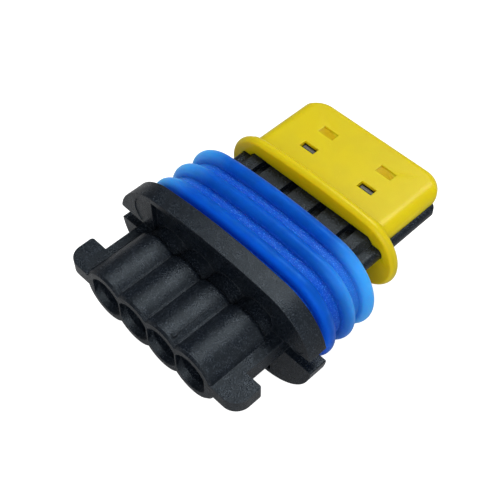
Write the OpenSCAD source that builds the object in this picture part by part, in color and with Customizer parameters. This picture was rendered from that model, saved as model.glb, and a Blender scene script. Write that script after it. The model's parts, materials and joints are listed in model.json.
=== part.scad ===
// Sealed four-way wire-to-wire connector half in its delivered state: a one-piece
// housing, a ribbed perimeter seal and a sliding terminal lock cap.
// X runs along the row of cavities, +Y is the mating direction, +Z is up.
// The origin is under the middle of the part, level with its lowest edge.

/* [Cavities] */
// number of cavities in the row
ways = 4; // [4:1:4]
// distance between neighbouring cavities
pitch = 6.0; // [5.9:0.1:6.1]
// radius of the round bore that takes a wire seal
bore_r = 2.8; // [2.6:0.05:2.8]
// radius of the lead-in at the mouth of each bore
mouth_r = 3.25; // [3.0:0.05:3.4]
// outer radius of each wire entry tube
tube_r = 4.5; // [4.3:0.1:4.6]
// length of the wire entry tubes
tube_len = 10.9; // [10:0.1:11.5]
// side of the square terminal chamber in front of each bore
chamber = 3.8; // [3.4:0.1:3.8]

/* [Flange] */
// overall width of the flange outline
flange_w = 40.4; // [39.6:0.2:41]
// overall height of the flange
flange_h = 20.6; // [20.2:0.2:21.2]
// radius of the rounded flange ends
flange_r = 9.6; // [9.4:0.1:9.7]
// thickness of the flange
flange_t = 3.2; // [2.8:0.1:3.6]
// distance from the tube mouths to the back of the flange
flange_back = 12.3; // [12:0.1:13]
// depth of the shallow pocket in the back of the flange
pocket_d = 0.9; // [0.4:0.1:1.4]
// height of the open slot in each end of the flange
slot_h = 2.7; // [2.4:0.1:2.9]

/* [Side hooks] */
// thickness of the side plates and hooks
plate_t = 3.0; // [2.4:0.1:3.4]
// half width of the side plates
plate_w2 = 15.0; // [14.6:0.1:15.4]
// half width over the hooks
hook_w2 = 18.1; // [17.6:0.1:18.6]
// length of the hooks
hook_len = 5.0; // [4.4:0.1:5.6]

/* [Seal] */
// overall width of the seal over its ribs
seal_w = 38.2; // [37.8:0.2:38.6]
// overall height of the seal over its ribs
seal_h = 18.8; // [18.6:0.2:19.2]
// wall of the seal from its bore to the rib tips
seal_wall = 2.8; // [2.6:0.1:3]
// distance between neighbouring ribs
rib_pitch = 4.1; // [3.9:0.05:4.2]
// width of each rib
rib_w = 2.3; // [2:0.1:2.6]
// height of the ribs above the grooves
rib_h = 1.5; // [1.3:0.1:1.7]

/* [Lock cap] */
// half width of the cap's upper shell
cap_w2 = 14.0; // [14:0.1:14.2]
// height of the cap's top above the cavity centres
cap_top = 5.0; // [4.9:0.1:5.2]
// distance from the tube mouths to the back of the cap's collar
cap_back = 33.0; // [32.8:0.1:33.4]
// distance from the tube mouths to the front of the cap
cap_front = 49.3; // [49.3:0.1:50]
// width of the cap's oval collar
collar_w = 34.4; // [33.8:0.2:35]
// height of the cap's oval collar
collar_h = 15.0; // [14.8:0.2:15.4]
// thickness of the collar
collar_t = 1.7; // [1.4:0.1:2]
// travel of the cap from its delivered place to its locked place
lock_travel = 4.5; // [4.4:0.1:4.5]

/* [Hidden] */
$fn = 96;

// clearance between the sliding faces of the cap and the housing
slide_gap = 0.08;
// clearance between the seal and the core it sits on
seal_gap = 0.02;
// overlap that makes neighbouring solids of one moulding fuse
fuse = 0.5;
// the cavities sit a little above the middle of the oval outlines
cavity_rise = 0.5;

// where a dome meets an end circle and where it ends inside it, past the circle's top
dome_meet = 0.3;
dome_end = 0.7;

flange_front = flange_back + flange_t;
axis_z = flange_h / 2 + cavity_rise;
mid_y = cap_front / 2;
row = [for (i = [0 : ways - 1]) (i - (ways - 1) / 2) * pitch];

// wire entry tubes
rim_chamfer = 0.35;
tube_round = 0.8;
neck_r = 3.8;
mouth_depth = 1.0;
wall_between = 0.25;
bore_len = 10.0;
web_w = 0.3;
web_h = 3.55;
web_back = 0.8;

// raised key line on the right flank of the third tube, with a lug at its back end
key_x = 4.94;
key_h = 4.2;
key_len = 7.6;
lug_w = 0.7;
lug_h = 4.35;
lug_len = 0.6;

// flange: rim left round the back pocket, end slots and the lobes beside them
rim_wall = 0.9;
pocket_w2 = 12.4;
slot_top = 1.5;
upper_lobe_r = 0.8;
lower_lobe_r = 0.3;

// side hooks, thinner than the plates that carry them
hook_low = -0.65;
hook_round = 2.5;
hook_nose = 0.5;

// seal and the core it sits on
seal_r = 8.8;
rib_count = 3;
first_rib = flange_front + 2.6;
seal_back = flange_front + 0.4;
seal_front = first_rib + (rib_count - 1) * rib_pitch + rib_w / 2 + 0.1;
core_w = seal_w - 2 * seal_wall;
core_h = seal_h - 2 * seal_wall;
core_r = seal_r - seal_wall;
core_front = seal_front + 0.6;
bead_h = 0.3;
bead_t = 0.4;

// front body: upper block, side rails and rounded lower block
block_w2 = 12.7;
block_top = 3.7;
block_bevel = 0.9;
block_front = cap_front - 1.4 - lock_travel - 0.1;
rail_in = 11.5;
rail_w2 = 14.7;
rail_low = 1.0;
rail_top = 2.65;
rail_round = 1.0;
rail_foot = 0.3;
rail_front = 45.8;
belly_w2 = 11.2;
belly_low = 3.6;
belly_r = 2.6;

// lance windows, terminal lances and snap nubs
window_w = 1.6;
window_back = 35.0;
groove_d = 1.2;
lance_w = 1.2;
lance_t = 0.7;
lance_len = 5.4;
lance_nose = 0.7;
nub_w = 2.5;
nub_len = 1.1;
nub_h = 0.6;
nub_at = 39.2;

// lock cap
front_wall = 1.4;
cap_round = 2.2;
cap_corner = 3.0;
brow_round = 1.5;
skirt_low = rail_top + 0.1;
root_fillet = 0.8;
collar_r = 7.0;
rim_round = collar_t / 2 + 0.06;
sole_low = 4.7;
sole_w2 = belly_w2 - belly_r;
chin_r = 3.4;
blade_w = 2.8;
blade_h = 1.2;
blade_step = 0.3;
snap_w = 2.9;
snap_len = 1.4;
recess_w = 3.1;
recess_len = 1.7;
recess_d = 0.3;
track_top = block_top + nub_h + 0.1;
tongue_w = 1.1;
tongue_low = 2.85;
tongue_t = 0.7;
tongue_len = 3.4;

// Places a drawing whose x runs across, y up from the cavity centres and z forward
// from the tube mouths into the part's own frame.
module forward() {
  translate([0, -mid_y, axis_z])
    mirror([0, 1, 0])
      rotate([90, 0, 0])
        children();
}

// Extrudes a side view (x forward, y up) to a width centred on x = 0.
module across(width) {
  translate([width / 2, 0, 0])
    rotate([0, -90, 0])
      linear_extrude(width) children();
}

// Extrudes a plan view (x across, y forward) over the heights low to high.
module upright(low, high) {
  translate([0, high, 0])
    rotate([90, 0, 0])
      linear_extrude(high - low) children();
}

module both_sides() {
  children();
  mirror([1, 0, 0]) children();
}

// Radius of a dome whose crown is at height h2 and that meets an end circle of
// radius r, centred at cx on the middle line, a little past the circle's top.
function dome_r(cx, r, h2) =
  let (x = cx + dome_meet, z = sqrt(r * r - dome_meet * dome_meet))
  (x * x + (h2 - z) * (h2 - z)) / (2 * (h2 - z));

// Oval outline: a round end on each side and a shallow dome above and below.
module oval(w, h, r) {
  cx = w / 2 - r;
  big = dome_r(cx, r, h / 2);
  for (sx = [-1, 1]) translate([sx * cx, 0]) circle(r = r);
  intersection() {
    translate([0, h / 2 - big]) circle(r = big, $fn = 720);
    translate([0, big - h / 2]) circle(r = big, $fn = 720);
    square([2 * (cx + dome_end), h], center = true);
  }
}

// The same oval as a solid whose rim follows a profile. The profile's x is the
// distance out from the outline and reaches back to -$reach, its y is the depth.
module rimmed_oval(w, h, r, depth) {
  cx = w / 2 - r;
  big = dome_r(cx, r, h / 2);
  span = 2 * (cx + dome_end);
  for (sx = [-1, 1])
    translate([sx * cx, 0, 0])
      rotate_extrude() translate([r, 0]) let ($reach = r) children();
  for (mz = [0, 1])
    mirror([0, mz, 0])
      intersection() {
        translate([0, h / 2 - big, 0])
          rotate_extrude($fn = 720) translate([big, 0]) let ($reach = h / 2 + 2) children();
        translate([-span / 2, -2.5, -1]) cube([span, h, depth + 2]);
      }
}

// one wire entry tube with a bevelled mouth rim and a rounded shoulder
module entry_tube() {
  rotate_extrude() {
    polygon([[0, 0], [tube_r - rim_chamfer, 0], [tube_r, rim_chamfer],
             [tube_r, tube_len - tube_round], [0, tube_len - tube_round]]);
    square([tube_r - tube_round, tube_len]);
    translate([tube_r - tube_round, tube_len - tube_round]) circle(r = tube_round);
  }
  cylinder(r = neck_r, h = flange_back + pocket_d + fuse);
}

// thin web that stands a little out of the valley between two tubes
module valley_web() {
  translate([-web_w / 2, -web_h, web_back])
    cube([web_w, 2 * web_h, tube_len - tube_round - web_back]);
}

// key line along the flank of one tube, with a small lug where it starts
module key_line() {
  translate([key_x - web_w / 2, 0, web_back]) cube([web_w, key_h, key_len]);
  translate([key_x - lug_w / 2, 0, web_back]) cube([lug_w, lug_h, lug_len]);
}

// bore, clipped lead-in and terminal chamber of one cavity
module cavity() {
  translate([0, 0, -fuse]) cylinder(r = bore_r, h = bore_len + fuse);
  intersection() {
    cylinder(r1 = mouth_r, r2 = bore_r, h = mouth_depth);
    translate([-(pitch - wall_between) / 2, -mouth_r, -1])
      cube([pitch - wall_between, 2 * mouth_r, mouth_depth + 1]);
  }
  translate([-chamber / 2, -chamber / 2, bore_len - fuse])
    cube([chamber, chamber, block_front]);
}

// plan view of the hook on one side, rounded at the back and square at the notch
module hook_outline() {
  square([hook_w2 - hook_round, hook_len]);
  translate([hook_w2 - hook_round, hook_round]) circle(r = hook_round);
  translate([0, hook_round]) square([hook_w2, hook_len - hook_round - hook_nose]);
  translate([hook_w2 - hook_nose, hook_len - hook_nose]) circle(r = hook_nose);
  translate([0, hook_round]) square([hook_w2 - hook_nose, hook_len - hook_round]);
}

// side plate between the hook and the flange, with the hook at its back
module side_plate() {
  upright(hook_low, plate_t / 2) hook_outline();
  upright(-plate_t / 2, plate_t / 2)
    translate([0, hook_len - hook_nose])
      square([plate_w2, flange_back + pocket_d + fuse - hook_len + hook_nose]);
}

// corner of a lobe beside a slot, square less its rounding, drawn into the lobe
module lobe_corner(r) {
  difference() {
    translate([-r, -0.01]) square([r + 1, r + 0.01]);
    translate([-r, r]) circle(r = r);
  }
}

// flange outline with an open slot in each end, its lobes rounded
module flange_outline() {
  difference() {
    translate([0, -cavity_rise]) oval(flange_w, flange_h, flange_r);
    for (sx = [-1, 1])
      scale([sx, 1]) {
        translate([plate_w2, slot_top - slot_h]) square([flange_w / 2 - plate_w2 + 1, slot_h]);
        translate([flange_w / 2, slot_top]) lobe_corner(upper_lobe_r);
        translate([flange_w / 2, slot_top - slot_h]) scale([1, -1]) lobe_corner(lower_lobe_r);
      }
  }
}

// pocket in the back of the flange, between the outer tubes
module pocket_outline() {
  intersection() {
    translate([0, -cavity_rise])
      oval(flange_w - 2 * rim_wall, flange_h - 2 * rim_wall, flange_r - rim_wall);
    square([2 * pocket_w2, flange_h + 2], center = true);
  }
}

module flange() {
  translate([0, 0, flange_back])
    difference() {
      linear_extrude(flange_t) flange_outline();
      translate([0, 0, -fuse])
        linear_extrude(pocket_d + fuse) pocket_outline();
    }
}

// core that carries the seal, with a low bead in front of it
module seal_core() {
  translate([0, -cavity_rise, flange_front - fuse]) {
    linear_extrude(core_front - flange_front + fuse) oval(core_w, core_h, core_r);
    translate([0, 0, core_front - flange_front + fuse - bead_t])
      linear_extrude(bead_t) oval(core_w + 2 * bead_h, core_h + 2 * bead_h, core_r + bead_h);
  }
}

// front view of the upper block and the rounded lower block, grown by a clearance
module block_outline(gap = 0) {
  w = block_w2 + gap;
  top = block_top + gap;
  flat = belly_w2 - belly_r;
  polygon([[-w, rail_low], [w, rail_low], [w, top - block_bevel], [w - block_bevel, top],
           [block_bevel - w, top], [-w, top - block_bevel]]);
  for (sx = [-1, 1])
    translate([sx * flat, belly_r - belly_low]) circle(r = belly_r + gap);
  translate([-belly_w2 - gap, belly_r - belly_low])
    square([2 * (belly_w2 + gap), belly_low - belly_r + 1.5]);
  translate([-flat, -belly_low - gap]) square([2 * flat, belly_low]);
}

// front view of the pair of guide rails on the sides of the front body
module rail_outline(gap = 0) {
  waist = rail_top - rail_round;
  for (sx = [-1, 1])
    scale([sx, 1]) {
      translate([rail_in - gap, rail_low - gap])
        square([rail_w2 - rail_in - rail_round + gap, rail_top - rail_low + 2 * gap]);
      translate([rail_in, rail_low - gap])
        square([rail_w2 - rail_in - rail_foot, waist - rail_low + gap]);
      translate([rail_in, rail_low + rail_foot])
        square([rail_w2 - rail_in + gap, waist - rail_low - rail_foot]);
      translate([rail_w2 - rail_foot, rail_low + rail_foot]) circle(r = rail_foot + gap);
      translate([rail_w2 - rail_round, waist]) circle(r = rail_round + gap);
    }
}

module front_body() {
  translate([0, 0, flange_front]) {
    linear_extrude(block_front - flange_front) block_outline();
    intersection() {
      linear_extrude(rail_front - flange_front) rail_outline();
      upright(-1, 4) {
        square([2 * rail_w2 + 2, 2 * (rail_front - flange_front - 1)], center = true);
        both_sides()
          translate([rail_w2 - 1, rail_front - flange_front - 1]) circle(r = 1);
        translate([0, rail_front - flange_front - 1])
          square([2 * rail_w2 - 2, 2], center = true);
      }
    }
  }
}

// slots in the top of the front body that open into the chambers
module lance_windows() {
  for (x = row)
    translate([x - window_w / 2, 0, 0]) {
      translate([0, block_top - groove_d, core_front])
        cube([window_w, groove_d + 1, window_back - core_front + fuse]);
      translate([0, 0, window_back]) cube([window_w, block_top + 1, block_front]);
    }
}

// springy lance in the roof of each chamber, hooked down at its tip
module lance() {
  low = chamber / 2;
  top = low + lance_t;
  translate([0, 0, window_back])
    across(lance_w)
      polygon([[-fuse, low], [lance_len - 1.6, low], [lance_len - 0.4, low - lance_nose],
               [lance_len, low - lance_nose], [lance_len, top - 0.2],
               [lance_len - 0.4, top], [-fuse, top]]);
}

// snap nub, steep at the front and ramped at the back
module nub() {
  translate([0, block_top, nub_at])
    across(nub_w)
      polygon([[-nub_len / 2, -fuse], [nub_len / 2, -fuse], [nub_len / 2, nub_h],
               [0, nub_h], [-nub_len / 2, 0]]);
}

module housing() {
  color([0.13, 0.14, 0.15])
    forward() {
      difference() {
        union() {
          for (x = row) translate([x, 0, 0]) entry_tube();
          for (i = [1 : ways - 1]) translate([row[i] - pitch / 2, 0, 0]) valley_web();
          key_line();
          both_sides() side_plate();
          flange();
          seal_core();
          front_body();
          for (sx = [-1, 1]) translate([sx * pitch, 0, 0]) nub();
        }
        for (x = row) translate([x, 0, 0]) cavity();
        lance_windows();
      }
      for (x = row) translate([x, 0, 0]) lance();
    }
}

// rim of the seal: groove floors with round-tipped ribs standing on them
module seal_rim() {
  translate([-$reach, seal_back])
    square([$reach - rib_h, seal_front - seal_back]);
  for (i = [0 : rib_count - 1])
    translate([0, first_rib + i * rib_pitch]) {
      translate([-rib_h - fuse, -rib_w / 2]) square([rib_h + fuse - rib_w / 2, rib_w]);
      translate([-rib_w / 2, 0]) circle(r = rib_w / 2, $fn = 48);
    }
}

module perimeter_seal() {
  bore_w = core_w + 2 * seal_gap;
  bore_h = core_h + 2 * seal_gap;
  color([0.05, 0.32, 0.85])
    forward()
      translate([0, -cavity_rise, 0])
        difference() {
          rimmed_oval(seal_w, seal_h, seal_r, seal_front) seal_rim();
          translate([0, 0, seal_back - 1])
            linear_extrude(seal_front - seal_back + 2)
              oval(bore_w, bore_h, core_r + seal_gap);
        }
}

// collar rim: a plain disc with a rounded edge
module collar_rim() {
  intersection() {
    translate([-$reach, 0]) square([$reach, collar_t]);
    union() {
      translate([-$reach, 0]) square([$reach - rim_round, collar_t]);
      translate([-rim_round, collar_t / 2]) circle(r = rim_round);
    }
  }
}

// front view of the cap's upper shell
module shell_outline() {
  flat = cap_w2 - cap_round;
  for (sx = [-1, 1]) translate([sx * flat, cap_top - cap_round]) circle(r = cap_round);
  translate([-cap_w2, skirt_low]) square([2 * cap_w2, cap_top - cap_round - skirt_low]);
  translate([-flat, skirt_low]) square([2 * flat, cap_top - skirt_low]);
}

// upper shell with rounded front corners and a rounded brow
module upper_shell() {
  flat = cap_w2 - cap_corner;
  intersection() {
    translate([0, 0, cap_back + 0.5]) linear_extrude(cap_front - cap_back) shell_outline();
    upright(skirt_low, cap_top + 1) {
      translate([-cap_w2, cap_back])
        square([2 * cap_w2, cap_front - cap_corner - cap_back]);
      translate([-flat, cap_back]) square([2 * flat, cap_front - cap_back]);
      for (sx = [-1, 1]) translate([sx * flat, cap_front - cap_corner]) circle(r = cap_corner);
    }
    across(2 * cap_w2 + 2) {
      translate([cap_back, skirt_low])
        square([cap_front - brow_round - cap_back, cap_top - skirt_low]);
      translate([cap_back, skirt_low])
        square([cap_front - cap_back, cap_top - brow_round - skirt_low]);
      translate([cap_front - brow_round, cap_top - brow_round]) circle(r = brow_round);
    }
  }
}

// concave fillet between the collar and the shell, drawn with its root at the origin
module fillet_section() {
  difference() {
    translate([-fuse, -fuse]) square(root_fillet + fuse);
    translate([root_fillet, root_fillet]) circle(r = root_fillet + 0.03);
  }
}

module root_fillets() {
  flat = cap_w2 - cap_round;
  rise = cap_top - cap_round;
  translate([0, 0, cap_back + collar_t]) {
    across(2 * flat)
      translate([0, cap_top]) fillet_section();
    both_sides() {
      translate([flat, rise, 0])
        rotate_extrude(angle = 90) translate([cap_round, 0]) fillet_section();
      upright(skirt_low, rise)
        translate([cap_w2, 0]) fillet_section();
    }
  }
}

// lower front wall with rounded bottom corners
module chin_outline() {
  flat = belly_w2 - chin_r;
  for (sx = [-1, 1]) translate([sx * flat, chin_r - sole_low]) circle(r = chin_r);
  translate([-belly_w2, chin_r - sole_low]) square([2 * belly_w2, sole_low - chin_r + 3.5]);
  translate([-flat, -sole_low]) square([2 * flat, sole_low]);
}

// room for the housing inside the cap, with the tracks its nubs run in
module cap_room() {
  translate([0, 0, cap_back - 1]) {
    linear_extrude(cap_front - front_wall - cap_back + 1) block_outline(slide_gap);
    linear_extrude(cap_front - cap_back + 2) rail_outline(slide_gap);
  }
  for (sx = [-1, 1])
    translate([sx * pitch - snap_w / 2, 0, nub_at - snap_len / 2])
      cube([snap_w, track_top, lock_travel + snap_len]);
}

// snap windows, shallow recesses and blade openings
module cap_openings() {
  for (sx = [-1, 1]) {
    translate([sx * pitch - snap_w / 2, 0, nub_at - snap_len / 2])
      cube([snap_w, cap_top + 1, snap_len]);
    translate([sx * pitch - recess_w / 2, cap_top - recess_d,
               nub_at + lock_travel - recess_len / 2])
      cube([recess_w, recess_d + 1, recess_len]);
  }
  for (x = row)
    translate([x, 0, cap_front]) {
      cube([blade_w, blade_h, 4 * front_wall], center = true);
      cube([blade_w + 2 * blade_step, blade_h + 2 * blade_step, 2 * blade_step], center = true);
    }
}

module lock_cap() {
  color([0.90, 0.80, 0.08])
    forward() {
      difference() {
        union() {
          translate([0, -cavity_rise, cap_back])
            rimmed_oval(collar_w, collar_h, collar_r, collar_t) collar_rim();
          upper_shell();
          root_fillets();
          translate([0, 0, cap_front - front_wall])
            linear_extrude(front_wall) chin_outline();
          translate([-sole_w2, -sole_low, cap_back + 0.5])
            cube([2 * sole_w2, sole_low, cap_front - cap_back - 1]);
        }
        cap_room();
        cap_openings();
      }
      for (x = row)
        translate([x - tongue_w / 2, tongue_low, cap_front - front_wall - tongue_len])
          cube([tongue_w, tongue_t, tongue_len + 0.5]);
    }
}

housing();
perimeter_seal();
lock_cap();
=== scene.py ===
"""Looks of a sealed wire-to-wire connector half: finishes, moulded details, light, camera."""

import json
import logging
import math
from dataclasses import dataclass
from enum import Enum
from typing import Sequence

import bmesh
import bpy
from mathutils import Matrix, Vector


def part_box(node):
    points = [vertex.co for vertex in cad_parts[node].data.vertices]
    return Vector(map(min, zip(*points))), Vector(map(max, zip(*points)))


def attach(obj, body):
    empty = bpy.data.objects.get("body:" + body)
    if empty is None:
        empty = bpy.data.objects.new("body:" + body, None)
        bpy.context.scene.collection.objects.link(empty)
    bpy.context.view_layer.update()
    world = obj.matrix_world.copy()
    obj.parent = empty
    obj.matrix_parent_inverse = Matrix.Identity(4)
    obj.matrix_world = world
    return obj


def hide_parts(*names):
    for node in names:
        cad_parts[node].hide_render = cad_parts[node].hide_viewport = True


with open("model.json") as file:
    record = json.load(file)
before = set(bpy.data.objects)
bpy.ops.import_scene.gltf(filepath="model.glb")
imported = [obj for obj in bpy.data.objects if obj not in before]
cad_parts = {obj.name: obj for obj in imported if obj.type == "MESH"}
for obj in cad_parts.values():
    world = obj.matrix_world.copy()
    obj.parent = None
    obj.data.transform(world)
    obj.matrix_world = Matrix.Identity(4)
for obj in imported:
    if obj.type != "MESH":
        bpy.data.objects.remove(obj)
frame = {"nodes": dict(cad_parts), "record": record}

log = logging.getLogger("connector")
MM = 0.001

Colour = tuple[float, float, float]
Material = bpy.types.Material
Node = bpy.types.Node
ShaderTree = bpy.types.NodeTree
Socket = bpy.types.NodeSocket


class Piece(Enum):
    """Names of the CAD nodes that are dressed here."""

    HOUSING = "housing"
    SEAL = "perimeter_seal"
    CAP = "lock_cap"


@dataclass(frozen=True)
class Datum:
    """Where the part's own drawing sits in the shared frame.

    Args:
        back: y of the tube mouths, metres.
        axis: z of the cavity centres, metres.
    """

    back: float
    axis: float

    def point(self, across: float, forward: float, up: float) -> Vector:
        """Turns millimetres from the tube mouths and cavity centres into the frame.

        Args:
            across: distance along the row, mm.
            forward: distance from the tube mouths, mm.
            up: height above the cavity centres, mm.

        Returns:
            The point in metres.
        """
        return Vector((across * MM, self.back + forward * MM, self.axis + up * MM))


def datum_of_frame() -> Datum:
    """Reads the datum off the housing: its rear end and the middle of its wire bores.

    Returns:
        The datum that every dressed feature is placed from.
    """
    low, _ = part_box(Piece.HOUSING.value)
    bore = next(m for m in frame["record"]["mounts"] if m["kind"] == "bore")
    return Datum(back=low[1], axis=bore["pos_m"][2])


class NodeTree:
    """Thin helper for laying out shader nodes."""

    def __init__(self, tree: ShaderTree) -> None:
        """Wraps a node tree.

        Args:
            tree: the tree to add nodes to.
        """
        self.tree = tree

    def add(self, kind: str, **values: object) -> Node:
        """Adds a node and sets its properties.

        Args:
            kind: Blender's node type name.
            values: attributes to set on the node.

        Returns:
            The new node.
        """
        node = self.tree.nodes.new(kind)
        for name, value in values.items():
            setattr(node, name, value)
        return node

    def link(self, source: Socket, target: Socket) -> None:
        """Joins two sockets.

        Args:
            source: the output socket.
            target: the input socket.
        """
        self.tree.links.new(source, target)

    def feed(self, target: Socket, value: object) -> None:
        """Links a socket to the target, or writes a number or a colour into it.

        Args:
            target: the input socket.
            value: a socket, a number or a colour.
        """
        if isinstance(value, Socket):
            self.link(value, target)
        elif isinstance(value, tuple):
            target.default_value = (*value, 1.0)
        else:
            target.default_value = value

    def math(
            self, operation: str, a: object, b: object = 0.0, clamp: bool = False) -> Socket:
        """Adds a Math node.

        Args:
            operation: Blender's name of the operation.
            a: first input, a socket or a number.
            b: second input, a socket or a number.
            clamp: whether the result is kept between 0 and 1.

        Returns:
            The node's output.
        """
        node = self.add("ShaderNodeMath", operation=operation, use_clamp=clamp)
        for socket, value in zip(node.inputs, (a, b)):
            self.feed(socket, value)
        return node.outputs[0]

    def ramp(self, value: Socket, low: float, high: float) -> Socket:
        """Maps low..high smoothly to 0..1.

        Args:
            value: the value to map.
            low: where the result is 0.
            high: where the result is 1.

        Returns:
            The mapped value.
        """
        node = self.add("ShaderNodeMapRange", interpolation_type="SMOOTHSTEP")
        self.link(value, node.inputs["Value"])
        node.inputs["From Min"].default_value = low
        node.inputs["From Max"].default_value = high
        return node.outputs["Result"]

    def blend(self, mask: Socket, a: object, b: object) -> Socket:
        """Mixes two numbers.

        Args:
            mask: 0 gives a, 1 gives b.
            a: a number or a socket.
            b: a number or a socket.

        Returns:
            The mixed number.
        """
        node = self.add("ShaderNodeMix", data_type="FLOAT")
        self.link(mask, node.inputs[0])
        self.feed(node.inputs[2], a)
        self.feed(node.inputs[3], b)
        return node.outputs[0]

    def mix(self, mask: Socket, a: object, b: object) -> Socket:
        """Mixes two colours.

        Args:
            mask: 0 gives a, 1 gives b.
            a: a colour or a socket.
            b: a colour or a socket.

        Returns:
            The mixed colour.
        """
        node = self.add("ShaderNodeMix", data_type="RGBA")
        self.link(mask, node.inputs["Factor"])
        self.feed(node.inputs[6], a)
        self.feed(node.inputs[7], b)
        return node.outputs[2]

    def tone(self, shader: Node, mask: Socket, colour: Colour) -> None:
        """Turns the shader's base colour into another where a mask is 1.

        Args:
            shader: the material's shader.
            mask: 0 keeps the colour, 1 replaces it.
            colour: the other colour, linear.
        """
        base = shader.inputs["Base Color"]
        self.link(self.mix(mask, base.links[0].from_socket, colour), base)


def new_group(
        name: str, inputs: dict[str, float], outputs: Sequence[tuple[str, str]],
) -> tuple[ShaderTree, NodeTree, Node, Node]:
    """Makes a shader node group with number inputs.

    Args:
        name: the group's name.
        inputs: each input's name and default.
        outputs: each output's name and socket type.

    Returns:
        The group, its helper, its input node and its output node.
    """
    group = bpy.data.node_groups.new(name, "ShaderNodeTree")
    for key, value in inputs.items():
        socket = group.interface.new_socket(
            name=key, in_out="INPUT", socket_type="NodeSocketFloat")
        socket.default_value = value
    for key, kind in outputs:
        group.interface.new_socket(name=key, in_out="OUTPUT", socket_type=kind)
    tree = NodeTree(group)
    return group, tree, tree.add("NodeGroupInput"), tree.add("NodeGroupOutput")


@dataclass(frozen=True)
class Grain:
    """What all moulded grain shares, whatever its size and depth.

    Args:
        detail: octaves of the fine noise.
        roughness: how strong its finest octaves are.
        patch_detail: octaves of the broad noise.
        patch_size: size of the broad patches, in grains.
        patch_edge: broad noise levels between which a patch fades in.
        speck_gain: how fast a speck fades in above its level.
        bevel_samples: samples of the softened edges.
        highlight_turn: how far the softened normal turns where the painted edge highlight starts
            and where it is full.
    """

    detail: float = 3.0
    roughness: float = 0.65
    patch_detail: float = 2.0
    patch_size: float = 9.0
    patch_edge: tuple[float, float] = (0.35, 0.65)
    speck_gain: float = 12.0
    bevel_samples: int = 6
    highlight_turn: tuple[float, float] = (0.01, 0.12)


def grain_group(look: Grain = Grain()) -> ShaderTree:
    """Fine moulded grain: softened edges, a noise as a bump normal, and masks.

    Args:
        look: what all grain shares.

    Returns:
        A group with inputs Size, Depth and Soft Edge (mm) and Speckle Level, and outputs Normal,
        Speckle, Blotch and Edge, the mask of the softened edges on which a highlight is painted.
    """
    group, tree, source, sink = new_group(
        "moulded_grain", {"Size": 0.3, "Depth": 0.02, "Speckle Level": 0.62, "Soft Edge": 0.12},
        (("Normal", "NodeSocketVector"), ("Speckle", "NodeSocketFloat"),
         ("Blotch", "NodeSocketFloat"), ("Edge", "NodeSocketFloat")))
    coords = tree.add("ShaderNodeTexCoord")
    scale = tree.math("DIVIDE", 1.0 / MM, source.outputs["Size"])
    fine = tree.add("ShaderNodeTexNoise")
    fine.inputs["Detail"].default_value = look.detail
    fine.inputs["Roughness"].default_value = look.roughness
    tree.link(coords.outputs["Object"], fine.inputs["Vector"])
    tree.link(scale, fine.inputs["Scale"])
    broad = tree.add("ShaderNodeTexNoise")
    broad.inputs["Detail"].default_value = look.patch_detail
    tree.link(coords.outputs["Object"], broad.inputs["Vector"])
    tree.link(tree.math("DIVIDE", scale, look.patch_size), broad.inputs["Scale"])
    soft = tree.add("ShaderNodeBevel", samples=look.bevel_samples)
    tree.link(tree.math("MULTIPLY", source.outputs["Soft Edge"], MM), soft.inputs["Radius"])
    bump = tree.add("ShaderNodeBump")
    bump.inputs["Strength"].default_value = 1.0
    tree.link(tree.math("MULTIPLY", source.outputs["Depth"], MM), bump.inputs["Distance"])
    tree.link(fine.outputs[0], bump.inputs["Height"])
    tree.link(soft.outputs["Normal"], bump.inputs["Normal"])
    tree.link(bump.outputs["Normal"], sink.inputs["Normal"])
    above = tree.math("SUBTRACT", fine.outputs[0], source.outputs["Speckle Level"])
    tree.link(tree.math("MULTIPLY", above, look.speck_gain, clamp=True), sink.inputs["Speckle"])
    tree.link(tree.ramp(broad.outputs[0], *look.patch_edge), sink.inputs["Blotch"])
    shape = tree.add("ShaderNodeNewGeometry")
    same = tree.add("ShaderNodeVectorMath", operation="DOT_PRODUCT")
    tree.link(soft.outputs["Normal"], same.inputs[0])
    tree.link(shape.outputs["Normal"], same.inputs[1])
    turned = tree.math("SUBTRACT", 1.0, same.outputs["Value"])
    tree.link(tree.ramp(turned, *look.highlight_turn), sink.inputs["Edge"])
    return group


def facing_group(
        backward: tuple[float, float] = (0.35, 0.95),
        upward: tuple[float, float] = (0.97, 0.995),
) -> ShaderTree:
    """Masks for faces that look back along the part or up, and the height above the cavities.

    Args:
        backward: how far a face looks back where its mask starts and where it is full.
        upward: the same for faces that look up.

    Returns:
        A group with input Axis (mm above the part's lowest edge) and outputs Backward, Upward,
        Height (mm) and Forward (mm, in the part's own frame).
    """
    group, tree, source, sink = new_group(
        "facing", {"Axis": 10.8},
        (("Backward", "NodeSocketFloat"), ("Upward", "NodeSocketFloat"),
         ("Height", "NodeSocketFloat"), ("Forward", "NodeSocketFloat")))
    coords = tree.add("ShaderNodeTexCoord")
    place = tree.add("ShaderNodeSeparateXYZ")
    tree.link(coords.outputs["Object"], place.inputs[0])
    way = tree.add("ShaderNodeSeparateXYZ")
    tree.link(coords.outputs["Normal"], way.inputs[0])
    rearward = tree.math("MULTIPLY", way.outputs["Y"], -1.0)
    tree.link(tree.ramp(rearward, *backward), sink.inputs["Backward"])
    tree.link(tree.ramp(way.outputs["Z"], *upward), sink.inputs["Upward"])
    height = tree.math("MULTIPLY", place.outputs["Z"], 1.0 / MM)
    tree.link(tree.math("SUBTRACT", height, source.outputs["Axis"]), sink.inputs["Height"])
    tree.link(tree.math("MULTIPLY", place.outputs["Y"], 1.0 / MM), sink.inputs["Forward"])
    return group


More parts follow.
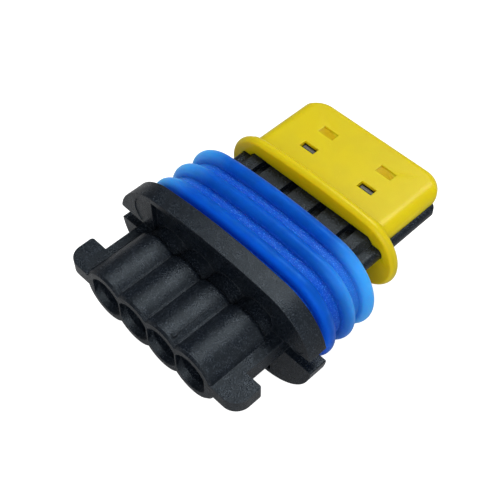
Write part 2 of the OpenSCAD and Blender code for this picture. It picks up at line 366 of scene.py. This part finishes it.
@dataclass(frozen=True)
class Finish:
    """A moulded plastic or rubber finish.

    Args:
        name: the material's name.
        colour: linear base colour.
        speckle: linear colour of the finest specks.
        blotch: how far broad patches darken the colour, 0 to 1.
        grain_mm: size of the grain.
        depth_mm: depth of the grain.
        level: noise level above which a speck shows.
        roughness: lowest and highest roughness.
        subsurface: weight of the light that scatters under the surface.
        radius: subsurface radius for red, green and blue.
        spread_mm: how far that light spreads.
        specular: the shader's specular level.
        edge: linear colour of the painted highlight that the softened edges lean to.
        edge_mm: radius of the softened edges.
        edge_highlight_share: how far they lean to it, 0 to 1.
        tint: linear colour of the shader's specular tint.
    """

    name: str
    colour: Colour
    speckle: Colour
    blotch: float
    grain_mm: float
    depth_mm: float
    level: float
    roughness: tuple[float, float]
    subsurface: float = 0.0
    radius: tuple[float, float, float] = (1.0, 1.0, 1.0)
    spread_mm: float = 0.5
    specular: float = 0.5
    edge: Colour = (0.05, 0.05, 0.05)
    edge_mm: float = 0.12
    edge_highlight_share: float = 0.7
    tint: Colour = (1.0, 1.0, 1.0)

    def build(self, grain: ShaderTree) -> tuple[Material, NodeTree, Node, Node]:
        """Makes the material's common part.

        Args:
            grain: the shared grain group.

        Returns:
            The material, its helper, its shader and its grain node.
        """
        material = bpy.data.materials.new(self.name)
        material.use_nodes = True
        material.node_tree.nodes.clear()
        tree = NodeTree(material.node_tree)
        out = tree.add("ShaderNodeOutputMaterial")
        shader = tree.add("ShaderNodeBsdfPrincipled")
        tree.link(shader.outputs[0], out.inputs["Surface"])
        texture = tree.add("ShaderNodeGroup", node_tree=grain)
        texture.inputs["Size"].default_value = self.grain_mm
        texture.inputs["Depth"].default_value = self.depth_mm
        texture.inputs["Speckle Level"].default_value = self.level
        texture.inputs["Soft Edge"].default_value = self.edge_mm
        dark = tuple(channel * (1.0 - self.blotch) for channel in self.colour)
        base = tree.mix(texture.outputs["Blotch"], self.colour, dark)
        base = tree.mix(texture.outputs["Speckle"], base, self.speckle)
        # painted highlight: the softened edges lean to the lighter edge colour
        edge_highlight = tree.math("MULTIPLY", texture.outputs["Edge"], self.edge_highlight_share)
        base = tree.mix(edge_highlight, base, self.edge)
        tree.link(base, shader.inputs["Base Color"])
        rough = tree.add("ShaderNodeMapRange")
        tree.link(texture.outputs["Blotch"], rough.inputs["Value"])
        rough.inputs["To Min"].default_value = self.roughness[0]
        rough.inputs["To Max"].default_value = self.roughness[1]
        tree.link(rough.outputs["Result"], shader.inputs["Roughness"])
        tree.link(texture.outputs["Normal"], shader.inputs["Normal"])
        shader.inputs["Specular IOR Level"].default_value = self.specular
        shader.inputs["Specular Tint"].default_value = (*self.tint, 1.0)
        shader.inputs["Subsurface Weight"].default_value = self.subsurface
        shader.inputs["Subsurface Radius"].default_value = self.radius
        shader.inputs["Subsurface Scale"].default_value = self.spread_mm * MM
        return material, tree, shader, texture


@dataclass(frozen=True)
class Housing:
    """The black one-piece housing.

    Args:
        datum: the part's datum.
        nub_low: height above the cavity centres that only the snap nubs pass, mm.
        nub_from: distance forward of the tube mouths at which the nubs start, mm.
        nub_grey: linear colour of the snap nubs, a lighter grey than the rest of the housing.
        finish: the moulding's finish.
    """

    datum: Datum
    nub_low: float = 3.75
    nub_from: float = 36.0
    nub_grey: Colour = (0.12, 0.12, 0.115)
    finish: Finish = Finish(
        name="housing_glass_filled_plastic", colour=(0.0044, 0.0068, 0.0110),
        speckle=(0.032, 0.040, 0.052), blotch=0.25, grain_mm=0.20, depth_mm=0.070, level=0.55,
        roughness=(0.25, 0.32), specular=0.31, edge=(0.040, 0.044, 0.050), edge_mm=0.14,
        tint=(0.80, 0.92, 1.0))

    def dress(self, grain: ShaderTree, facing: ShaderTree) -> None:
        """Puts the finish on the housing, its snap nubs a lighter grey.

        Args:
            grain: the shared grain group.
            facing: the shared facing group.
        """
        material, tree, shader, _ = self.finish.build(grain)
        masks = facing_node(tree, facing, self.datum)
        high = tree.math("GREATER_THAN", masks.outputs["Height"], self.nub_low)
        start = self.datum.back / MM + self.nub_from
        ahead = tree.math("GREATER_THAN", masks.outputs["Forward"], start)
        tree.tone(shader, tree.math("MULTIPLY", high, ahead), self.nub_grey)
        assign(Piece.HOUSING, material)
        MouldMarks(self.datum).build(material)
        log.info("housing dressed")


@dataclass(frozen=True)
class Arc:
    """A raised arc on the back of the flange.

    Args:
        name: the piece's name.
        centre: across and up from the cavity centres, mm.
        radius: mm.
        start: first angle, degrees.
        end: last angle, degrees.
        step: angle between points, degrees.
        fewest: least number of steps.
    """

    name: str
    centre: tuple[float, float]
    radius: float
    start: float
    end: float
    step: float = 8.0
    fewest: int = 6

    def path(self, forward: float) -> list[tuple[float, float, float]]:
        """Lays points along the arc.

        Args:
            forward: distance from the tube mouths, mm.

        Returns:
            Points across, forward and up, mm.
        """
        span = self.end - self.start
        steps = max(self.fewest, int(abs(span) / self.step))
        angles = [math.radians(self.start + span * k / steps) for k in range(steps + 1)]
        across, up = self.centre
        return [(across + self.radius * math.cos(t), forward, up + self.radius * math.sin(t))
                for t in angles]


@dataclass(frozen=True)
class MouldMarks:
    """Fine raised mould marks: two arcs on the back of the flange, a line beside the first tube.

    Args:
        datum: the part's datum.
        flange_back: distance from the tube mouths to the back of the flange, mm.
        thickness: width of each raised line, mm.
        arcs: the arcs.
        line_across: where the line lies along the row, mm.
        line_up: height of the side plate that it lies on, mm.
        line_ends: distances forward at which it starts and ends, mm.
    """

    datum: Datum
    flange_back: float = 12.3
    thickness: float = 0.24
    arcs: tuple[Arc, ...] = (
        Arc("flange_ring_mark", (-13.4, 4.6), 3.0, 150.0, 236.0),
        Arc("flange_arc_mark", (17.3, 2.6), 1.25, 190.0, 345.0))
    line_across: float = -13.55
    line_up: float = 1.5
    line_ends: tuple[float, float] = (1.2, 9.6)

    def stroke(
            self, name: str, path: Sequence[tuple[float, float, float]], material: Material,
    ) -> None:
        """Draws one raised line.

        Args:
            name: the piece's name.
            path: points across, forward and up, mm.
            material: the housing's finish.
        """
        data = bpy.data.curves.new(name, "CURVE")
        data.dimensions = "3D"
        data.bevel_depth = self.thickness / 2 * MM
        data.bevel_resolution = 2
        data.use_fill_caps = True
        line = data.splines.new("POLY")
        line.points.add(len(path) - 1)
        for point, place in zip(line.points, path):
            point.co = (*self.datum.point(*place), 1.0)
        data.materials.append(material)
        body = bpy.data.objects.new(name, data)
        bpy.context.scene.collection.objects.link(body)
        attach(body, "housing_body")

    def build(self, material: Material) -> None:
        """Adds both arcs and the line.

        Args:
            material: the housing's finish.
        """
        for arc in self.arcs:
            self.stroke(arc.name, arc.path(self.flange_back), material)
        line = [(self.line_across, forward, self.line_up) for forward in self.line_ends]
        self.stroke("plate_line", line, material)


def facing_node(tree: NodeTree, facing: ShaderTree, datum: Datum) -> Node:
    """Adds the facing group to a material.

    Args:
        tree: the material's helper.
        facing: the shared facing group.
        datum: the part's datum.

    Returns:
        The group node, its axis set.
    """
    node = tree.add("ShaderNodeGroup", node_tree=facing)
    node.inputs["Axis"].default_value = datum.axis / MM
    return node


@dataclass(frozen=True)
class RibRow:
    """Where the seal's ribs stand, in millimetres from the tube mouths.

    Args:
        first: crest of the first rib.
        pitch: distance between crests.
        width: width of each rib.
    """

    first: float = 18.1
    pitch: float = 4.1
    width: float = 2.3


@dataclass(frozen=True)
class Seal:
    """The blue perimeter seal with its three ribs.

    Args:
        datum: the part's datum.
        ribs: where the ribs stand.
        blur: share of a rib's width over which its foot fades into the groove.
        groove: linear colour of the groove floors, a deeper blue that paints shade into them.
        groove_rough: how much rougher the floors are.
        lip: linear colour of the painted light coming through the thin rib lips at the ends of
            the oval.
        lip_span: distances along the row at which a lip starts to pale and is palest, mm.
        lip_share: how far a lip turns to its colour.
        floor_share: how much less a groove floor does.
        front_share: how far the ribs at the right end pale, against the left end.
        lit_flank: linear colour of the painted light on the first rib's flank toward the flange.
        sparkle: linear colour of the painted glints in the grooves.
        glint_mm: size of its grain.
        glint_level: noise level above which it shows.
        finish: the rubber's finish.
    """

    datum: Datum
    ribs: RibRow = RibRow()
    blur: float = 0.04
    groove: Colour = (0.003, 0.065, 0.50)
    groove_rough: float = 0.1
    lip: Colour = (0.085, 0.48, 1.0)
    lip_span: tuple[float, float] = (9.0, 18.5)
    lip_share: float = 0.9
    floor_share: float = 0.5
    front_share: float = 0.70
    lit_flank: Colour = (0.003, 0.11, 0.72)
    sparkle: Colour = (0.110, 0.32, 0.90)
    glint_mm: float = 0.16
    glint_level: float = 0.56
    finish: Finish = Finish(
        name="seal_silicone", colour=(0.0026, 0.080, 0.45), speckle=(0.02, 0.14, 0.62),
        blotch=0.16, grain_mm=0.26, depth_mm=0.03, level=0.66, roughness=(0.34, 0.44),
        specular=0.30, subsurface=0.8, radius=(0.05, 0.6, 1.0), spread_mm=2.2,
        edge=(0.01, 0.17, 0.70), tint=(0.10, 0.55, 1.0))

    def crest(self, number: int) -> float:
        """Gives the y of a rib's crest, counted from 0 at the flange, metres."""
        return self.datum.back + (self.ribs.first + number * self.ribs.pitch) * MM

    def place(self, tree: NodeTree) -> Node:
        """Adds the position on the seal, split into X, Y and Z outputs in metres.

        Args:
            tree: the material's helper.

        Returns:
            The splitting node.
        """
        coords = tree.add("ShaderNodeTexCoord")
        parts = tree.add("ShaderNodeSeparateXYZ")
        tree.link(coords.outputs["Object"], parts.inputs[0])
        return parts

    def groove_mask(self, tree: NodeTree) -> Socket:
        """Gives 1 on the groove floors and 0 on the ribs.

        Args:
            tree: the material's helper.

        Returns:
            The mask.
        """
        forward = tree.math("SUBTRACT", self.place(tree).outputs["Y"], self.crest(-2))
        away = tree.math("PINGPONG", forward, self.ribs.pitch * MM / 2)
        width = self.ribs.width * MM
        return tree.ramp(away, width * (0.5 - self.blur), width * (0.5 + self.blur))

    def lighten(self, tree: NodeTree, shader: Node, floor: Socket) -> None:
        """Paints in the light that comes through: lighter colour on the first rib's flank and on
        the lips at both ends.

        Args:
            tree: the material's helper.
            shader: the material's shader.
            floor: mask of the groove floors.
        """
        parts = self.place(tree)
        half_pitch = self.ribs.pitch * MM / 2
        start, end = (edge * MM for edge in self.lip_span)
        outward = tree.ramp(tree.math("ABSOLUTE", parts.outputs["X"]), start, end)
        free = tree.ramp(
            parts.outputs["Y"], self.crest(1) - half_pitch, self.crest(1) + half_pitch)
        left = tree.math("LESS_THAN", parts.outputs["X"], 0.0)
        shown = tree.math("MAXIMUM", tree.math("MULTIPLY", free, self.front_share), left)
        solid = tree.math("MULTIPLY", floor, self.floor_share)
        share = tree.math("SUBTRACT", self.lip_share, solid)
        thin = tree.math("MULTIPLY", tree.math("MULTIPLY", outward, shown), share)
        before = tree.ramp(
            parts.outputs["Y"], self.crest(0) - self.ribs.width / 2 * MM, self.crest(0))
        # painted light on the first rib's flank toward the flange
        tree.tone(shader, tree.math("SUBTRACT", 1.0, before), self.lit_flank)
        # painted light coming through the thin lips at both ends
        tree.tone(shader, thin, self.lip)

    def dress(self, grain: ShaderTree) -> None:
        """Puts the finish on the seal: rougher grooves with painted shade and painted glints on
        their floors, and painted light at the ends.

        Args:
            grain: the shared grain group.
        """
        material, tree, shader, texture = self.finish.build(grain)
        floor = self.groove_mask(tree)
        clear = tree.math("SUBTRACT", 1.0, texture.outputs["Speckle"])
        # painted shade: the groove floors between the ribs turn a deeper blue
        tree.tone(shader, tree.math("MULTIPLY", floor, clear), self.groove)
        self.lighten(tree, shader, floor)
        # painted glints: light specks on the groove floors
        glints = tree.add("ShaderNodeGroup", node_tree=grain)
        glints.inputs["Size"].default_value = self.glint_mm
        glints.inputs["Speckle Level"].default_value = self.glint_level
        tree.tone(shader, tree.math("MULTIPLY", floor, glints.outputs["Speckle"]), self.sparkle)
        smooth = shader.inputs["Roughness"].links[0].from_socket
        rougher = tree.math("MULTIPLY", floor, self.groove_rough)
        tree.link(tree.math("ADD", smooth, rougher), shader.inputs["Roughness"])
        assign(Piece.SEAL, material)
        log.info("seal dressed")


@dataclass(frozen=True)
class RolledCap:
    """The lock cap with its top edges rolled over in one sweep round both front corners.

    Args:
        datum: the part's datum.
        half_width: half width of the upper shell, mm.
        top: height of the shell's top, mm.
        back: distance forward at which the rolled edge starts, mm.
        corner: radius of the front corners seen from above, mm.
        roll_back: radius of the rolled edge beside the collar, mm.
        roll_front: radius of the rolled edge at the front, mm.
        skin: how far the trimming form stands off the faces it leaves alone, mm.
        foot: height of the trimming form's lowest face, mm.
        collar: middle of the block that keeps the collar whole, mm forward.
        collar_size: that block's width and height, mm.
        overlap: how far that block reaches into the rolled form, both ends together, mm.
        steps: facets of each quarter turn.
        crease: angle from which an edge stays sharp, degrees.
        even_weight: how much the largest faces set the shading.
    """

    datum: Datum
    half_width: float = 14.0
    top: float = 5.0
    back: float = 35.4
    corner: float = 4.1
    roll_back: float = 2.25
    roll_front: float = 1.6
    skin: float = 0.02
    foot: float = -8.0
    collar: float = 32.0
    collar_size: tuple[float, float] = (60.0, 40.0)
    overlap: float = 0.02
    steps: int = 16
    crease: float = 28.0
    even_weight: int = 100

    def quarter(self) -> list[float]:
        """Gives the angles of a quarter turn from 0 up, in radians."""
        return [math.radians(90.0 * k / self.steps) for k in range(self.steps + 1)]

    def inset(self, roll: float, up: float) -> float:
        """Gives how far a rolled edge has drawn in at a height.

        Args:
            roll: the edge's radius, mm.
            up: the height, mm.

        Returns:
            The distance in from the side, mm.
        """
        rise = max(0.0, up - (self.top + self.skin - roll))
        return roll - math.sqrt(max(0.0, roll * roll - rise * rise))

    def layer(self, front: float, up: float) -> list[tuple[float, float]]:
        """Lays out the trimming form's outline at one height.

        Args:
            front: distance forward of the cap's front, mm.
            up: the height, mm.

        Returns:
            Points across and forward, mm, from the right back corner round to the left one.
        """
        wide = self.half_width + self.skin
        radius = self.corner - self.inset(self.roll_front, up)
        centre = (wide - self.corner, front + self.skin - self.corner)
        right = [(wide - self.inset(self.roll_back, up), self.back)]
        right += [(centre[0] + radius * math.cos(t), centre[1] + radius * math.sin(t))
                  for t in self.quarter()]
        return right + [(-across, forward) for across, forward in reversed(right)]

    def trimming_form(self, front: float) -> bpy.types.Object:
        """Builds the solid that the cap is trimmed to: rolled shell and a block round the collar.

        Args:
            front: distance forward of the cap's front, mm.

        Returns:
            The trimming solid.
        """
        build = bmesh.new()
        heights = [self.foot]
        heights += [self.top + self.skin - self.roll_front * (1 - math.sin(t))
                    for t in self.quarter()]
        rings = [[build.verts.new(self.datum.point(x, y, up)) for x, y in self.layer(front, up)]
                 for up in heights]
        for low, high in zip(rings, rings[1:]):
            for k in range(len(low)):
                n = (k + 1) % len(low)
                build.faces.new((low[k], low[n], high[n], high[k]))
        build.faces.new(list(reversed(rings[0])))
        build.faces.new(rings[-1])
        wide, tall = self.collar_size
        span = Vector((wide, 2 * (self.back - self.collar) + self.overlap, tall)) * MM
        middle = Matrix.Translation(self.datum.point(0, self.collar, 0))
        bmesh.ops.create_cube(build, size=1.0, matrix=middle @ Matrix.Diagonal((*span, 1.0)))
        bmesh.ops.recalc_face_normals(build, faces=build.faces)
        mesh = bpy.data.meshes.new("cap_trim")
        build.to_mesh(mesh)
        build.free()
        form = bpy.data.objects.new("cap_trim", mesh)
        bpy.context.scene.collection.objects.link(form)
        return form

    def build(self, material: Material) -> None:
        """Trims a copy of the cap to the rolled form and lets it stand for the cap.

        Args:
            material: the cap's finish.
        """
        node = frame["nodes"][Piece.CAP.value]
        _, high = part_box(Piece.CAP.value)
        shell = bpy.data.objects.new("rolled_cap", node.data.copy())
        bpy.context.scene.collection.objects.link(shell)
        form = self.trimming_form((high[1] - self.datum.back) / MM)
        trim = shell.modifiers.new("trim", "BOOLEAN")
        trim.operation = "INTERSECT"
        trim.solver = "EXACT"
        trim.use_self = True
        trim.object = form
        graph = bpy.context.evaluated_depsgraph_get()
        result = bpy.data.meshes.new_from_object(shell.evaluated_get(graph), depsgraph=graph)
        shell.modifiers.clear()
        shell.data = result
        bpy.data.objects.remove(form)
        result.shade_smooth()
        result.set_sharp_from_angle(angle=math.radians(self.crease))
        result.materials.clear()
        result.materials.append(material)
        even = shell.modifiers.new("even", "WEIGHTED_NORMAL")
        even.mode = "FACE_AREA"
        even.weight = self.even_weight
        even.keep_sharp = True
        log.info("rolled cap: %d faces", len(result.polygons))
        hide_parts(Piece.CAP.value)
        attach(shell, "cap_body")


@dataclass(frozen=True)
class LockCap:
    """The yellow lock cap.

    Args:
        datum: the part's datum.
        top: height of the shell's top above the cavity centres, mm.
        recess_span: depths under the top between which a recess floor lies, mm.
        shade: linear colour of the painted shade on the recess floors.
        lit_through: linear colour of the painted light that the faces looking back lean to.
        lit_share: how far they lean to it, 0 to 1.
        finish: the plastic's finish.
    """

    datum: Datum
    top: float = 5.0
    recess_span: tuple[float, float] = (0.15, 0.6)
    shade: Colour = (0.50, 0.32, 0.001)
    lit_through: Colour = (0.90, 0.66, 0.003)
    lit_share: float = 0.6
    finish: Finish = Finish(
        name="cap_plastic", colour=(0.57, 0.46, 0.006), speckle=(0.66, 0.54, 0.02),
        blotch=0.05, grain_mm=0.5, depth_mm=0.006, level=0.70, roughness=(0.30, 0.36),
        specular=0.30, subsurface=0.5, radius=(1.0, 0.7, 0.05), spread_mm=1.6,
        edge=(0.70, 0.58, 0.008), edge_mm=0.2, tint=(1.0, 0.92, 0.55))

    def dress(self, grain: ShaderTree, facing: ShaderTree) -> None:
        """Puts the finish on the cap, with painted shade in its recesses and painted light where
        it looks back.

        Args:
            grain: the shared grain group.
            facing: the shared facing group.
        """
        material, tree, shader, _ = self.finish.build(grain)
        masks = facing_node(tree, facing, self.datum)
        shallow, deep = self.recess_span
        sunk = tree.math(
            "MULTIPLY", tree.math("LESS_THAN", masks.outputs["Height"], self.top - shallow),
            tree.math("GREATER_THAN", masks.outputs["Height"], self.top - deep))
        rearward = tree.math("MULTIPLY", masks.outputs["Backward"], self.lit_share)
        # painted light on the faces that look back
        tree.tone(shader, rearward, self.lit_through)
        # painted shade on the recess floors
        tree.tone(shader, tree.math("MULTIPLY", sunk, masks.outputs["Upward"]), self.shade)
        assign(Piece.CAP, material)
        RolledCap(self.datum).build(material)
        log.info("cap dressed")


def assign(piece: Piece, material: Material) -> None:
    """Gives a CAD node one material.

    Args:
        piece: the node.
        material: its finish.
    """
    node = frame["nodes"][piece.value]
    for slot in node.material_slots:
        slot.material = material
    if not node.material_slots:
        node.data.materials.append(material)


@dataclass(frozen=True)
class Stand:
    """The view of the part.

    Args:
        target: the point looked at, mm across, forward and up.
        azimuth: degrees round from looking along +Y.
        elevation: degrees above level.
        roll: degrees of roll.
        distance: mm from the target.
        lens: focal length, mm.
        sensor: width of the sensor, mm.
        clip: nearest and farthest distance drawn, metres.
    """

    target: tuple[float, float, float] = (1.541, 18.861, 3.871)
    azimuth: float = 45.82
    elevation: float = 51.757
    roll: float = -0.254
    distance: float = 142.14
    lens: float = 70.344
    sensor: float = 36.0
    clip: tuple[float, float] = (0.005, 20.0)


@dataclass(frozen=True)
class Lamp:
    """A square soft light aimed at the part.

    Args:
        name: the light's name.
        place: mm across, forward and up from the datum.
        size: side of the light, metres.
        power: watts.
    """

    name: str
    place: tuple[float, float, float]
    size: float
    power: float


@dataclass(frozen=True)
class Studio:
    """Floor, lights, background and camera.

    Args:
        datum: the part's datum.
        stand: the view.
        lamps: the soft lights.
        aim: distance forward of the tube mouths that they point at, mm.
        ambient: strength of the surroundings on matt faces.
        mirrored: strength of the surroundings in reflections.
        floor_half: half side of the floor, metres.
        floor_tone: grey of the floor.
        floor_lift: glow that takes the floor to white for the camera.
    """

    datum: Datum
    stand: Stand = Stand()
    lamps: tuple[Lamp, ...] = (
        Lamp("key", (-25.0, 275.0, 475.0), 0.28, 2.0),
        Lamp("side", (430.0, 60.0, 220.0), 0.25, 0.4),
        Lamp("front", (300.0, -330.0, 300.0), 0.35, 1.4))
    aim: float = 24.0
    ambient: float = 0.47
    mirrored: float = 0.07
    floor_half: float = 1.5
    floor_tone: float = 0.4
    floor_lift: float = 0.9

    def camera(self) -> None:
        """Makes the camera and looks through it."""
        view = self.stand
        az, el, roll = (math.radians(v) for v in (view.azimuth, view.elevation, view.roll))
        back = Vector((math.sin(az) * math.cos(el), -math.cos(az) * math.cos(el), math.sin(el)))
        right = Vector((0, 0, 1)).cross(back).normalized()
        up = back.cross(right)
        turned = math.cos(roll) * right + math.sin(roll) * up
        up = -math.sin(roll) * right + math.cos(roll) * up
        place = self.datum.point(*view.target) + back * view.distance * MM
        data = bpy.data.cameras.new("view")
        data.sensor_width = view.sensor
        data.lens = view.lens
        data.clip_start, data.clip_end = view.clip
        body = bpy.data.objects.new("view", data)
        bpy.context.scene.collection.objects.link(body)
        turn = Matrix((turned, up, back)).transposed().to_4x4()
        body.matrix_world = Matrix.Translation(place) @ turn
        bpy.context.scene.camera = body

    def floor(self) -> None:
        """Makes a pale floor that shows white and keeps a faint shadow."""
        mesh = bpy.data.meshes.new("floor")
        half = self.floor_half
        corners = [(-half, -half, 0), (half, -half, 0), (half, half, 0), (-half, half, 0)]
        mesh.from_pydata(corners, [], [(0, 1, 2, 3)])
        body = bpy.data.objects.new("floor", mesh)
        bpy.context.scene.collection.objects.link(body)
        material = bpy.data.materials.new("pale_floor")
        material.use_nodes = True
        material.node_tree.nodes.clear()
        tree = NodeTree(material.node_tree)
        out = tree.add("ShaderNodeOutputMaterial")
        matt = tree.add("ShaderNodeBsdfDiffuse")
        matt.inputs["Color"].default_value = (*[self.floor_tone] * 3, 1.0)
        glow = tree.add("ShaderNodeEmission")
        seen = tree.add("ShaderNodeLightPath").outputs["Is Camera Ray"]
        tree.link(tree.math("MULTIPLY", seen, self.floor_lift), glow.inputs["Strength"])
        both = tree.add("ShaderNodeAddShader")
        tree.link(matt.outputs[0], both.inputs[0])
        tree.link(glow.outputs[0], both.inputs[1])
        tree.link(both.outputs[0], out.inputs["Surface"])
        mesh.materials.append(material)

    def light(self, lamp: Lamp) -> None:
        """Adds one soft light.

        Args:
            lamp: the light.
        """
        data = bpy.data.lights.new(lamp.name, "AREA")
        data.size = lamp.size
        data.energy = lamp.power
        body = bpy.data.objects.new(lamp.name, data)
        bpy.context.scene.collection.objects.link(body)
        spot = self.datum.point(*lamp.place)
        aim = self.datum.point(0, self.aim, 0) - spot
        turn = aim.to_track_quat("-Z", "Y").to_matrix().to_4x4()
        body.matrix_world = Matrix.Translation(spot) @ turn

    def surroundings(self) -> None:
        """Makes the surroundings, white to the camera and dimmer to the part."""
        world = bpy.data.worlds.new("studio")
        bpy.context.scene.world = world
        world.use_nodes = True
        tree = NodeTree(world.node_tree)
        backdrop = world.node_tree.nodes["Background"]
        backdrop.inputs["Color"].default_value = (1, 1, 1, 1)
        path = tree.add("ShaderNodeLightPath")
        level = tree.blend(path.outputs["Is Glossy Ray"], self.ambient, self.mirrored)
        strength = tree.blend(path.outputs["Is Camera Ray"], level, 1.0)
        tree.link(strength, backdrop.inputs["Strength"])

    def build(self) -> None:
        """Builds the whole studio."""
        self.camera()
        self.floor()
        for lamp in self.lamps:
            self.light(lamp)
        self.surroundings()
        bpy.context.scene.view_settings.view_transform = "Standard"
        log.info("studio built")


def main() -> None:
    """Dresses the part and sets up the studio."""
    logging.basicConfig(level=logging.INFO, format="%(name)s: %(message)s")
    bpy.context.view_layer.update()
    datum = datum_of_frame()
    grain = grain_group()
    facing = facing_group()
    Studio(datum).build()
    Housing(datum).dress(grain, facing)
    Seal(datum).dress(grain)
    LockCap(datum).dress(grain, facing)


if __name__ == "__main__":
    main()
